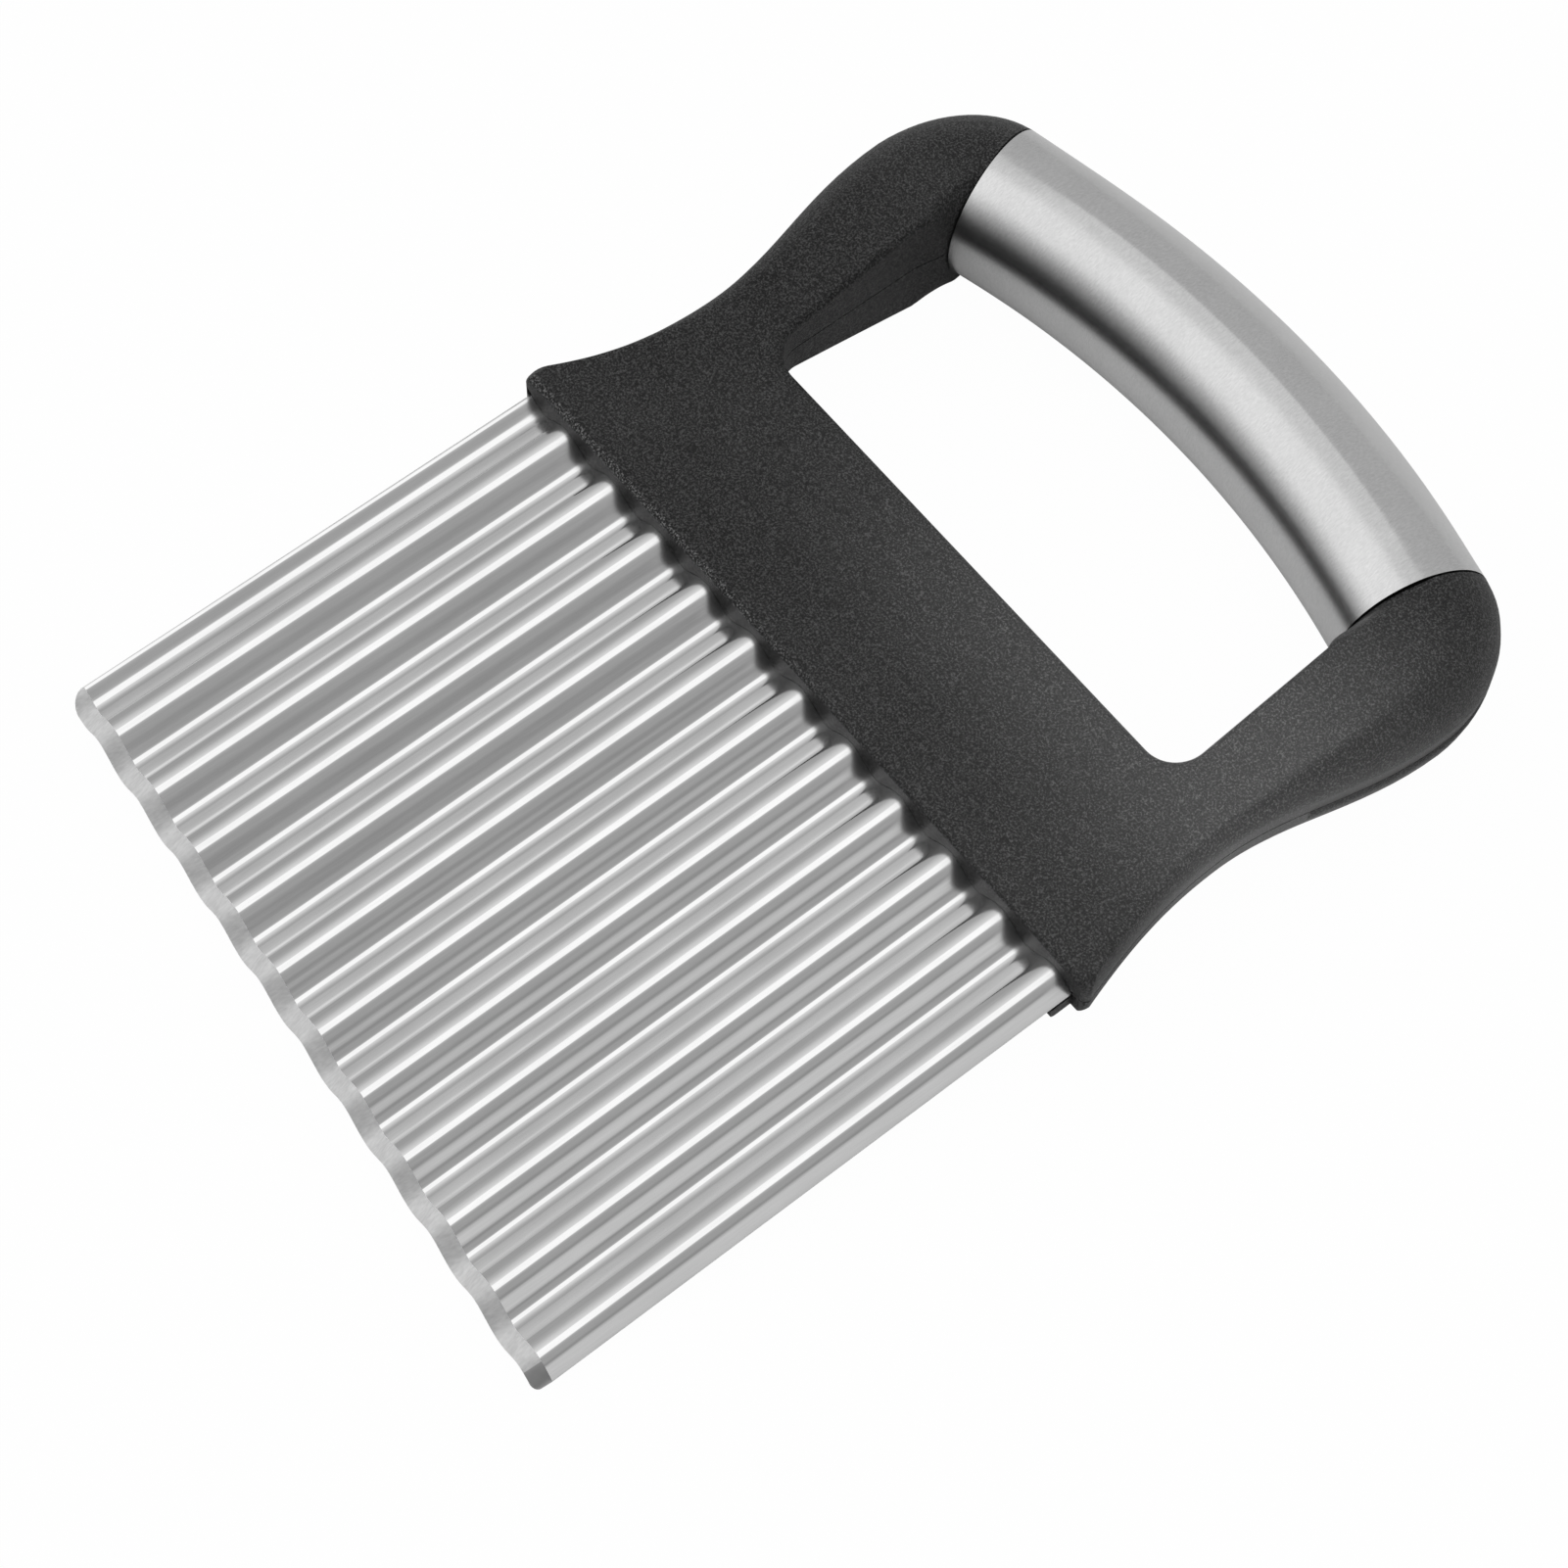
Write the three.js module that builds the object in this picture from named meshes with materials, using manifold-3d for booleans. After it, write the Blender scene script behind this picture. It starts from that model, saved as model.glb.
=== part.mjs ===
import * as THREE from 'three';
import Module from 'manifold-3d';

const wasm = await Module();
wasm.setup();

// Crinkle cutter. Built lying on its mid-plane: +X across the blade, +Y from the blade to the grip,
// y = 0 at the handle's lip, z = 0 on the parting plane. Millimetres and degrees.

// Blade
const bladeWidth = 110;
const bladeReach = 79.3;
const edgeSlant = 4.7;
const wavePitch = 9.9;
const waveDepth = 2.5;
const crestShift = 1.6;
const sheetThickness = 0.9;
const bevelLength = 3;
const edgeThickness = 0.15;
const bladeCornerRadius = 2.4;
const tangDepth = 17;
const tangSideWall = 4.5;
const tangShoulder = 1.5;
const samplesPerWave = 8;

// Handle
const lipSideWall = 2;
const lipCornerRadius = 2;
const waistInset = 6.3;
const waistHeight = 25.7;
const elbowFlare = 0.8;
const elbowHeight = 59.5;
const elbowReach = 15.5;
const elbowDrop = 5;
const armWidth = 10.7;
const windowBottom = 27.1;
const windowCornerRadius = 5;
const barThickness = 8.8;
const wallThickness = 2.4;
const ledgeReach = 4.1;
const lipRounding = 0.8;
const windowRounding = 1.1;

// Grip tube
const gripDiameter = 21.9;
const gripWall = 0.8;
const archRadius = 153.4;
const gripRise = 74;
const palmRise = 0.77;
const palmShoulder = 6.9;

// Plugs and pins
const plugInsert = 9;
const plugNeckRadius = 5.5;
const plugFlangeRadius = 7;
const plugFlangeThickness = 3;
const endWall = 4.5;
const pinRadius = 2;
const pinHalfLength = 3;
const pinInset = 4;
const pinDepth = 9;

// Clearances
const seamGap = 0.2;
const slotGap = 0.25;
const pinGap = 0.2;
const plugGap = 0.3;
const boreGap = 0.5;
const tubeGap = 0.3;

const rad = THREE.MathUtils.degToRad;
const halfBlade = bladeWidth / 2;
const lipHalfWidth = halfBlade + lipSideWall;
const waistHalfWidth = lipHalfWidth - waistInset;
const elbowHalfWidth = lipHalfWidth + elbowFlare;
const windowHalfWidth = waistHalfWidth - armWidth;
const tangHalfWidth = waistHalfWidth - tangSideWall;
const halfBar = barThickness / 2;
const gripRadius = gripDiameter / 2;
const archCentre = gripRise - archRadius;

// Mesh helpers
function meshOf(rings, capEnds) {
  const count = rings[0].length;
  const positions = rings.flat().flatMap((p) => [p.x, p.y, p.z]);
  const index = [];
  const last = capEnds ? rings.length - 1 : rings.length;
  for (let i = 0; i < last; i += 1) {
    const a = i * count;
    const b = ((i + 1) % rings.length) * count;
    for (let j = 0; j < count; j += 1) {
      const k = (j + 1) % count;
      index.push(a + j, b + j, b + k, a + j, b + k, a + k);
    }
  }
  if (capEnds) {
    capOf(rings[0], 0, index, true);
    capOf(rings[last], last * count, index, false);
  }
  const geometry = new THREE.BufferGeometry();
  geometry.setAttribute('position', new THREE.Float32BufferAttribute(positions, 3));
  geometry.setIndex(index);
  return geometry;
}

// A ring's cap, triangulated in the ring's own plane.
function capOf(ring, offset, index, first) {
  const across = ring[Math.floor(ring.length / 2)].clone().sub(ring[0]).normalize();
  const normal = new THREE.Vector3();
  for (let i = 1; i < ring.length - 1; i += 1) {
    const u = ring[i].clone().sub(ring[0]);
    const v = ring[i + 1].clone().sub(ring[0]);
    normal.add(u.cross(v));
  }
  normal.normalize();
  const up = normal.clone().cross(across);
  const flat = ring.map((p) => {
    const from = p.clone().sub(ring[0]);
    return new THREE.Vector2(from.dot(across), from.dot(up));
  });
  for (const [a, b, c] of THREE.ShapeUtils.triangulateShape(flat, [])) {
    if (first) index.push(offset + a, offset + b, offset + c);
    else index.push(offset + a, offset + c, offset + b);
  }
}

function solidOf(geometry) {
  const plain = geometry.index ? geometry.toNonIndexed() : geometry.clone();
  const place = plain.getAttribute('position').array;
  const seen = new Map();
  const points = [];
  const corners = [];
  for (let i = 0; i < place.length; i += 3) {
    const p = [place[i], place[i + 1], place[i + 2]];
    const key = p.map((v) => Math.round(v * 1e4)).join(',');
    if (!seen.has(key)) {
      seen.set(key, points.length / 3);
      points.push(...p);
    }
    corners.push(seen.get(key));
  }
  const triangles = [];
  for (let i = 0; i < corners.length; i += 3) {
    const [a, b, c] = corners.slice(i, i + 3);
    if (a !== b && b !== c && c !== a) triangles.push(a, b, c);
  }
  const vertProperties = new Float32Array(points);
  const triVerts = new Uint32Array(triangles);
  const solid = new wasm.Manifold(new wasm.Mesh({ numProp: 3, vertProperties, triVerts }));
  if (solid.volume() >= 0) return solid;
  for (let i = 0; i < triangles.length; i += 3) {
    triVerts.set([triangles[i], triangles[i + 2], triangles[i + 1]], i);
  }
  return new wasm.Manifold(new wasm.Mesh({ numProp: 3, vertProperties, triVerts }));
}

function geometryOf(solid) {
  const mesh = solid.getMesh();
  const positions = [];
  for (let i = 0; i < mesh.triVerts.length; i += 1) {
    const at = mesh.triVerts[i] * mesh.numProp;
    positions.push(mesh.vertProperties[at], mesh.vertProperties[at + 1], mesh.vertProperties[at + 2]);
  }
  const geometry = new THREE.BufferGeometry();
  geometry.setAttribute('position', new THREE.Float32BufferAttribute(positions, 3));
  geometry.computeVertexNormals();
  return geometry;
}

const tool = new THREE.Group();
tool.name = 'crinkle_cutter';

function addPiece(name, solid, colour, metalness, roughness) {
  const material = new THREE.MeshStandardMaterial({ color: colour, metalness, roughness });
  const mesh = new THREE.Mesh(geometryOf(solid), material);
  mesh.name = name;
  tool.add(mesh);
}

function box(x0, x1, y0, y1, z0, z1) {
  const geometry = new THREE.BoxGeometry(x1 - x0, y1 - y0, z1 - z0);
  geometry.translate((x0 + x1) / 2, (y0 + y1) / 2, (z0 + z1) / 2);
  return solidOf(geometry);
}

function pinAlongZ(x, y, radius, z0, z1, sides) {
  const geometry = new THREE.CylinderGeometry(radius, radius, z1 - z0, sides);
  geometry.rotateX(Math.PI / 2);
  geometry.translate(x, y, (z0 + z1) / 2);
  return solidOf(geometry);
}

// Corrugated sheet: the wave's mid-surface offset to both sides along its normal.
function wavePoint(x, offset) {
  const turn = (2 * Math.PI * (x - crestShift)) / wavePitch;
  const slope = Math.atan((-waveDepth / 2) * Math.sin(turn) * ((2 * Math.PI) / wavePitch));
  const z = (waveDepth / 2) * Math.cos(turn);
  return [x - Math.sin(slope) * offset, z + Math.cos(slope) * offset];
}

// Columns across the sheet, the same on the wave whatever the width, with the blade's corners added.
function columnsAcross(halfWidth) {
  const step = wavePitch / samplesPerWave;
  const columns = [];
  for (let x = crestShift - step * Math.ceil((halfWidth + crestShift) / step); x < halfWidth; x += step) {
    columns.push(x);
  }
  for (const share of [0.08, 0.3, 0.6]) {
    const x = halfBlade - bladeCornerRadius * share;
    columns.push(-x, x);
  }
  const within = columns.filter((x) => Math.abs(x) < halfWidth - 0.1 * step);
  within.push(-halfWidth, halfWidth);
  within.sort((a, b) => a - b);
  return within.filter((x, i) => i === 0 || x - within[i - 1] > 0.05);
}

// Distance of the cutting edge from the lip at x: slanted, with rounded corners.
function edgeAt(x) {
  const straight = -bladeReach - x * Math.tan(rad(edgeSlant));
  const into = Math.max(0, Math.abs(x) - (halfBlade - bladeCornerRadius));
  return straight + bladeCornerRadius - Math.sqrt(Math.max(0, bladeCornerRadius ** 2 - into ** 2));
}

function bladeSolid() {
  const half = sheetThickness / 2;
  const rings = columnsAcross(halfBlade).map((x) => {
    const [xFront, zFront] = wavePoint(x, half);
    const [xRear, zRear] = wavePoint(x, -half);
    const [xEdge, zEdge] = wavePoint(x, edgeThickness - half);
    const edge = edgeAt(x);
    return [
      new THREE.Vector3(xRear, edge, zRear),
      new THREE.Vector3(xRear, tangDepth, zRear),
      new THREE.Vector3(xFront, tangDepth, zFront),
      new THREE.Vector3(xFront, edge + bevelLength, zFront),
      new THREE.Vector3(xEdge, edge, zEdge),
    ];
  });
  const shoulder = box(tangHalfWidth, 2 * halfBlade, tangShoulder, 2 * tangDepth, -waveDepth, waveDepth);
  return solidOf(meshOf(rings, true)).subtract(shoulder).subtract(shoulder.mirror([1, 0, 0]));
}

// A block bounded by the wave, offset along its normal, and by a flat plane at z = far.
function waveBlock(halfWidth, offset, y0, y1, far) {
  const rings = columnsAcross(halfWidth).map((x) => {
    const [xWave, zWave] = wavePoint(x, offset);
    return [
      new THREE.Vector3(xWave, y0, zWave),
      new THREE.Vector3(xWave, y1, zWave),
      new THREE.Vector3(xWave, y1, far),
      new THREE.Vector3(xWave, y0, far),
    ];
  });
  return solidOf(meshOf(rings, true));
}

// Handle outline, right half: stations from the bar's middle to the elbow's end. Each has an outer and an
// inner point in plan, a half thickness, the rounding of its outer and inner edges, and whether it is hollow.
const archEnd = Math.asin((elbowHalfWidth - elbowReach) / archRadius);
const jointNormal = new THREE.Vector2(Math.sin(archEnd), Math.cos(archEnd));
const jointAxis = new THREE.Vector2(0, archCentre).addScaledVector(jointNormal, archRadius);
const jointAlong = new THREE.Vector2(Math.cos(archEnd), -Math.sin(archEnd));
const jointOuter = jointAxis.clone().addScaledVector(jointNormal, gripRadius);
const jointInner = jointAxis.clone().addScaledVector(jointNormal, -gripRadius);

const sideLow = new THREE.CubicBezierCurve(
  new THREE.Vector2(lipHalfWidth, lipCornerRadius),
  new THREE.Vector2(lipHalfWidth - 0.1 * waistHeight, 0.36 * waistHeight),
  new THREE.Vector2(waistHalfWidth, 0.65 * waistHeight),
  new THREE.Vector2(waistHalfWidth, waistHeight),
);
const armRise = elbowHeight - waistHeight;
const sideHigh = new THREE.CubicBezierCurve(
  new THREE.Vector2(waistHalfWidth, waistHeight),
  new THREE.Vector2(waistHalfWidth, waistHeight + 0.36 * armRise),
  new THREE.Vector2(elbowHalfWidth, elbowHeight - 0.41 * armRise),
  new THREE.Vector2(elbowHalfWidth, elbowHeight),
);
const elbowRise = jointOuter.y - elbowHeight;
const elbowTurn = new THREE.CubicBezierCurve(
  new THREE.Vector2(elbowHalfWidth, elbowHeight),
  new THREE.Vector2(elbowHalfWidth, elbowHeight + 0.47 * elbowRise),
  jointOuter.clone().addScaledVector(jointAlong, 0.37 * elbowRise),
  jointOuter,
);

const armFoot = windowBottom + windowCornerRadius;
const armTop = jointInner.y - elbowDrop;

function halfThicknessAt(y) {
  const u = THREE.MathUtils.clamp((y - windowBottom) / (jointInner.y - windowBottom), 0, 1);
  return halfBar + (gripRadius - halfBar) * u ** 1.25;
}

function station(outer, inner, outerRounding, innerRounding, hollow) {
  return { outer, inner, half: halfThicknessAt(inner.y), outerRounding, innerRounding, hollow };
}

function arcPoint(centre, radius, turn) {
  return new THREE.Vector2(centre.x + radius * Math.cos(rad(turn)), centre.y + radius * Math.sin(rad(turn)));
}

function rightStations() {
  const list = [];
  const cornerStart = windowHalfWidth - windowCornerRadius;
  for (const share of [0, 0.5]) {
    const outer = new THREE.Vector2(cornerStart * share, 0);
    const inner = new THREE.Vector2(cornerStart * share, windowBottom);
    list.push(station(outer, inner, lipRounding, windowRounding, false));
  }
  // The fan round the window's lower corner: outer points run along the lip, its corner and the side.
  const lipCentre = new THREE.Vector2(lipHalfWidth - lipCornerRadius, lipCornerRadius);
  const fan = [new THREE.Vector2(cornerStart, 0), new THREE.Vector2((cornerStart + lipCentre.x) / 2, 0)];
  for (const turn of [-90, -60, -30]) fan.push(arcPoint(lipCentre, lipCornerRadius, turn));
  for (const share of [0, 0.2, 0.4, 0.6, 0.8, 1]) fan.push(sideLow.getPoint(share));
  fan.push(sideHigh.getPoint(0.1));
  fan.push(sideHigh.getPoint(0.2));
  const windowCentre = new THREE.Vector2(cornerStart, armFoot);
  fan.forEach((outer, i) => {
    const share = i / (fan.length - 1);
    const inner = arcPoint(windowCentre, windowCornerRadius, -90 + 90 * share);
    const rounding = THREE.MathUtils.lerp(lipRounding, 0.8 * halfBar, THREE.MathUtils.smoothstep(i, 1, 7));
    list.push(station(outer, inner, rounding, windowRounding, false));
  });
  for (const share of [0.15, 0.3, 0.45, 0.6, 0.75, 0.9]) {
    const outer = sideHigh.getPoint(0.2 + 0.8 * share);
    const inner = new THREE.Vector2(windowHalfWidth, THREE.MathUtils.lerp(armFoot, armTop, share));
    const rounding = THREE.MathUtils.lerp(0.8 * halfBar, 0.75 * gripRadius, share);
    list.push(station(outer, inner, rounding, windowRounding, share > 0.4));
  }
  for (const share of [0, 0.15, 0.3, 0.45, 0.6, 0.75, 0.88, 1]) {
    const outer = elbowTurn.getPoint(share);
    const inner = new THREE.Vector2(windowHalfWidth, armTop).lerp(jointInner, share);
    const rounding = THREE.MathUtils.lerp(0.75 * gripRadius, gripRadius, share);
    const innerRounding = THREE.MathUtils.lerp(windowRounding, gripRadius, share ** 3);
    list.push(station(outer, inner, rounding, innerRounding, share < 0.7));
  }
  return list;
}

function mirrored(stationAt) {
  const outer = new THREE.Vector2(-stationAt.outer.x, stationAt.outer.y);
  const inner = new THREE.Vector2(-stationAt.inner.x, stationAt.inner.y);
  return { ...stationAt, outer, inner };
}

// The front half of one section, drawn from its outer edge over the front to its inner edge.
function sectionRing(at, inset, floor) {
  const across = at.inner.clone().sub(at.outer);
  const width = across.length() - 2 * inset;
  across.normalize();
  const start = at.outer.clone().addScaledVector(across, inset);
  const top = at.half - inset;
  const outerX = Math.min(Math.max(at.outerRounding - inset, 0.5), width / 2);
  const outerZ = Math.min(outerX, top - Math.max(floor, 0));
  const innerX = Math.min(Math.max(at.innerRounding - inset, 0.5), width / 2);
  const innerZ = Math.min(innerX, top - Math.max(floor, 0));
  const profile = [[0, floor]];
  const arcSteps = 5;
  for (let i = 0; i <= arcSteps; i += 1) {
    const turn = (Math.PI / 2) * (i / arcSteps);
    profile.push([outerX * (1 - Math.cos(turn)), top - outerZ * (1 - Math.sin(turn))]);
  }
  for (let i = arcSteps; i >= 0; i -= 1) {
    const turn = (Math.PI / 2) * (i / arcSteps);
    profile.push([width - innerX * (1 - Math.cos(turn)), top - innerZ * (1 - Math.sin(turn))]);
  }
  profile.push([width, floor]);
  return profile.map(([s, z]) => new THREE.Vector3(start.x + across.x * s, start.y + across.y * s, z));
}

const right = rightStations();
const left = right.slice(1).map(mirrored).reverse();
const whole = [...left, ...right];

function halfShell() {
  const body = solidOf(meshOf(whole.map((at) => sectionRing(at, 0, seamGap / 2)), true));
  const armStations = right.filter((at) => at.hollow);
  const cavity = solidOf(meshOf(armStations.map((at) => sectionRing(at, wallThickness, -1)), true));
  return body.subtract(cavity).subtract(cavity.mirror([1, 0, 0]));
}

// Tube plugs, turned about the tube's end axis. Positive along runs out of the tube into the elbow.
function plugSolid(grow, side) {
  const bow = plugInsert ** 2 / (2 * archRadius);
  const bore = gripRadius - gripWall - boreGap - bow;
  const seat = -plugGap;
  const profile = [
    [0, -plugInsert - grow],
    [bore + grow, -plugInsert - grow],
    [bore + grow, seat + (grow > 0 ? plugGap : 0)],
    [plugNeckRadius + grow, seat + (grow > 0 ? plugGap : 0)],
    [plugNeckRadius + grow, endWall + plugGap - grow],
    [plugFlangeRadius + grow, endWall + plugGap - grow],
    [plugFlangeRadius + grow, endWall + plugGap + plugFlangeThickness + grow],
    [0, endWall + plugGap + plugFlangeThickness + grow],
  ].map(([r, y]) => new THREE.Vector2(r, y));
  const geometry = new THREE.LatheGeometry(profile, 24);
  const along = new THREE.Vector3(side * jointAlong.x, jointAlong.y, 0);
  geometry.applyQuaternion(new THREE.Quaternion().setFromUnitVectors(new THREE.Vector3(0, 1, 0), along));
  geometry.translate(side * jointAxis.x, jointAxis.y, 0);
  return solidOf(geometry);
}

// The parting surface is flat in the arms and follows the wave where the blade lies between the shells:
// at full width under the lip, then narrower round the tang.
const beyond = 2 * gripDiameter;
function alongWave(grow, offset, far) {
  const lip = waveBlock(halfBlade + grow, offset, -beyond, tangShoulder + grow, far);
  return lip.add(waveBlock(tangHalfWidth + grow, offset, tangShoulder + grow, tangDepth + grow, far));
}
const slotHalf = sheetThickness / 2 + slotGap;
const frontHalf = halfShell();
const rearHalf = frontHalf.mirror([0, 0, 1]);
const frontFill = rearHalf.intersect(alongWave(0, 0, beyond));
const rearFill = frontHalf.intersect(alongWave(0, 0, -beyond));
const lipSeam = box(-halfBlade, halfBlade, lipRounding, tangShoulder, -seamGap, seamGap);
const tangSeam = box(-tangHalfWidth, tangHalfWidth, tangShoulder, tangDepth, -seamGap, seamGap);
const ledge = box(-halfBlade, halfBlade, -ledgeReach, lipRounding, lipRounding - halfBar, waveDepth);
let frontShell = frontHalf.add(frontFill).add(lipSeam).add(tangSeam);
let rearShell = rearHalf.add(rearFill).add(lipSeam).add(tangSeam).add(ledge);
frontShell = frontShell.subtract(alongWave(slotHalf, slotHalf, -beyond));
rearShell = rearShell.subtract(alongWave(slotHalf, -slotHalf, beyond));
let blade = bladeSolid();

const pinNames = ['left_tang_pin', 'middle_tang_pin', 'right_tang_pin'];
const outerWave = Math.floor((tangHalfWidth - pinInset - crestShift) / wavePitch);
const pins = [-outerWave, 0, outerWave].map((wave) => crestShift + wave * wavePitch);
for (const x of pins) {
  const hole = pinAlongZ(x, pinDepth, pinRadius + pinGap, -pinHalfLength - pinGap, pinHalfLength + pinGap, 24);
  frontShell = frontShell.subtract(hole);
  rearShell = rearShell.subtract(hole);
  blade = blade.subtract(hole);
}
for (const side of [-1, 1]) {
  const envelope = plugSolid(plugGap, side);
  frontShell = frontShell.subtract(envelope);
  rearShell = rearShell.subtract(envelope);
}

// Grip tube: sections along the arch, round at the ends, flattened to a creased palm side at mid-span. There
// the palm side is a superellipse through its shoulder, the point as far out as it is forward.
const palmPower = Math.LN2 / Math.log(gripRadius / palmShoulder);
function tubeRing(turn, radius) {
  const share = (1 - (turn / archEnd) ** 2) ** 2;
  const power = THREE.MathUtils.lerp(2, palmPower, share);
  const bulge = THREE.MathUtils.lerp(1, 1 + palmRise / gripRadius, share);
  const ring = [];
  const steps = 32;
  for (let i = 0; i < steps; i += 1) {
    const at = (2 * Math.PI * i) / steps;
    let palm = radius * Math.cos(at);
    let front = radius * Math.sin(at);
    if (palm > 1e-6) {
      palm = radius * bulge * Math.cos(at) ** (2 / power);
      front = radius * Math.sign(Math.sin(at)) * Math.abs(Math.sin(at)) ** (2 / power);
    }
    const reach = archRadius + palm;
    ring.push(new THREE.Vector3(reach * Math.sin(turn), archCentre + reach * Math.cos(turn), front));
  }
  return ring;
}

function tubeSolid() {
  const stop = archEnd - tubeGap / archRadius;
  const turns = [];
  for (let i = 0; i <= 16; i += 1) turns.push(stop * (i / 8 - 1));
  const outer = solidOf(meshOf(turns.map((turn) => tubeRing(turn, gripRadius)), true));
  const longer = turns.map((turn) => tubeRing(turn * 1.02, gripRadius - gripWall));
  return outer.subtract(solidOf(meshOf(longer, true)));
}

addPiece('blade', blade, 0xc9ccd0, 1, 0.15);
addPiece('front_shell', frontShell, 0x2a2b2d, 0, 0.6);
addPiece('rear_shell', rearShell, 0x2a2b2d, 0, 0.6);
addPiece('grip_tube', tubeSolid(), 0xb9bbbd, 1, 0.35);
addPiece('left_tube_plug', plugSolid(0, -1), 0x36373a, 0, 0.7);
addPiece('right_tube_plug', plugSolid(0, 1), 0x36373a, 0, 0.7);
pins.forEach((x, i) => {
  const pin = pinAlongZ(x, pinDepth, pinRadius, -pinHalfLength, pinHalfLength, 24);
  addPiece(pinNames[i], pin, 0xb0b3b6, 1, 0.3);
});

// Resting on a table: the cutting edge and the underside of the grip both touch it.
const cutReach = bladeReach + halfBlade * Math.tan(rad(edgeSlant));
const bladeHalfDepth = (waveDepth + sheetThickness) / 2;
tool.rotation.x = Math.atan2(gripRadius - bladeHalfDepth, cutReach + jointAxis.y);
const cutter = new THREE.Group();
cutter.add(tool);
cutter.updateMatrixWorld(true);
const bounds = new THREE.Box3().setFromObject(cutter, true);
const middle = bounds.getCenter(new THREE.Vector3());
tool.position.set(-middle.x, -middle.y, -bounds.min.z);

export default cutter;
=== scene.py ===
import math
from collections import namedtuple

import bmesh
import bpy
from mathutils import Matrix, Vector


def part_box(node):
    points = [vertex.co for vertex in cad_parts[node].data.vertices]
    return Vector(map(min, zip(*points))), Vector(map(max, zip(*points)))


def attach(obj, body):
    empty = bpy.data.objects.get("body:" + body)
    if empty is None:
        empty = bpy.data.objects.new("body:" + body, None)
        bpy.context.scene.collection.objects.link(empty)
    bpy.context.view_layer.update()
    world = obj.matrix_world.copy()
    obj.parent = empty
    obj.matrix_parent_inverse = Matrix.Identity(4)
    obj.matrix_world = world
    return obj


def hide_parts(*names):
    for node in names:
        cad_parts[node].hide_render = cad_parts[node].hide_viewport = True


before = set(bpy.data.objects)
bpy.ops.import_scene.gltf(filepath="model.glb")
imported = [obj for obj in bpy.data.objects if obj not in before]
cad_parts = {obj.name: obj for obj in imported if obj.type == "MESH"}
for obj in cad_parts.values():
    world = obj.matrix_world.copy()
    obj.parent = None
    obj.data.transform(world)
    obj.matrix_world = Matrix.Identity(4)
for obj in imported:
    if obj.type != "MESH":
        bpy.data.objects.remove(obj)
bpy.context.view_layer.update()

# Lengths are in metres. The pieces are modelled in the cutter's own frame and then laid on the
# table: +X across the blade, +Y from the blade to the grip, y = 0 at the lip of the solid handle,
# z = 0 on the parting plane. A pair of numbers goes from left to right.

# Blade
BLADE_HALF_WIDTH = 0.055
BLADE_REACH = 0.0793
EDGE_SLANT = math.radians(4.7)
WAVE_PITCH = 0.0099
WAVE_DEPTH = 0.0025
CREST_SHIFT = 0.0016
SHEET = 0.0009
BLADE_ENDS = (-0.0561, 0.0543)
BLADE_CORNERS = (0.0026, 0.001)
EDGE_INSET = 0.00015
EDGE_THICKNESS = 0.00015
BEVEL_LENGTH = 0.0024
TIP_FACET = 0.0021
TANG_DEPTH = 0.017
TANG_HALF_WIDTH = 0.0462
TANG_SHOULDER = 0.0015
# A face is on the bevel if it faces forward by this much, and ends within this share of its length.
BEVEL_FACING = 0.2
BEVEL_MARGIN = 1.05

# Handle
LIP_DROP = 0.0008
LIP_CORNER = 0.001
LIP_ROUNDING = 0.0008
WAIST_HEIGHT = 0.0257
ELBOW_HALF_WIDTH = 0.0578
ELBOW_HEIGHT = 0.0595
ELBOW_REACH = 0.0155
ELBOW_DROP = 0.005
ELBOW_INSET = 0.00005
WINDOW_BOTTOM = 0.0271
WINDOW_CORNER = 0.005
WINDOW_ROUNDING = 0.0011
HALF_BAR = 0.0044
LEDGE_REACH = 0.0041
LEDGE_ROUNDING = 0.001
SEAM_GAP = 0.0002
SLOT_GAP = 0.00006

# Grip tube
GRIP_RADIUS = 0.01095
GRIP_WALL = 0.0008
GRIP_RISE = 0.074
ARCH_RADIUS = 0.1534
TUBE_GAP = 0.0003

# Pins and plugs, which keep their solids, and how much wider their holes are
PIN_DEPTH = 0.009
ROOM = 1.03

# Detail of the meshes
WAVE_STEPS = 64
CORNER_CUTS = 5
CUT_THRESHOLD = 1e-7
MERGE_DISTANCE = 1e-6
STEEL_ANGLE = 40
PLASTIC_ANGLE = 35

# The joint between tube and elbow on the right side
ARCH_CENTRE = GRIP_RISE - ARCH_RADIUS
ARCH_END = math.asin((ELBOW_HALF_WIDTH - ELBOW_REACH) / ARCH_RADIUS)
JOINT_OUT = Vector((math.sin(ARCH_END), math.cos(ARCH_END)))
JOINT_ALONG = Vector((math.cos(ARCH_END), -math.sin(ARCH_END)))
JOINT_AXIS = Vector((0, ARCH_CENTRE)) + ARCH_RADIUS * JOINT_OUT
JOINT_OUTER = JOINT_AXIS + GRIP_RADIUS * JOINT_OUT
JOINT_INNER = JOINT_AXIS - GRIP_RADIUS * JOINT_OUT

# The cutter lies on its cutting edge and on the underside of its grip. The middle pin gives its
# place.
CUT_REACH = BLADE_REACH + BLADE_HALF_WIDTH * math.tan(EDGE_SLANT)
TILT = math.atan2(GRIP_RADIUS - (WAVE_DEPTH + SHEET) / 2, CUT_REACH + JOINT_AXIS.y)
PIN_LOW, PIN_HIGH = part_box("middle_tang_pin")
PIN_CENTRE = Vector((CREST_SHIFT, PIN_DEPTH, 0))
TURN = Matrix.Rotation(TILT, 4, "X")
LAID = Matrix.Translation((PIN_LOW + PIN_HIGH) / 2 - TURN @ PIN_CENTRE) @ TURN


# Modelling helpers

def activate(piece):
    bpy.ops.object.select_all(action="DESELECT")
    piece.select_set(True)
    bpy.context.view_layer.objects.active = piece


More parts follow.
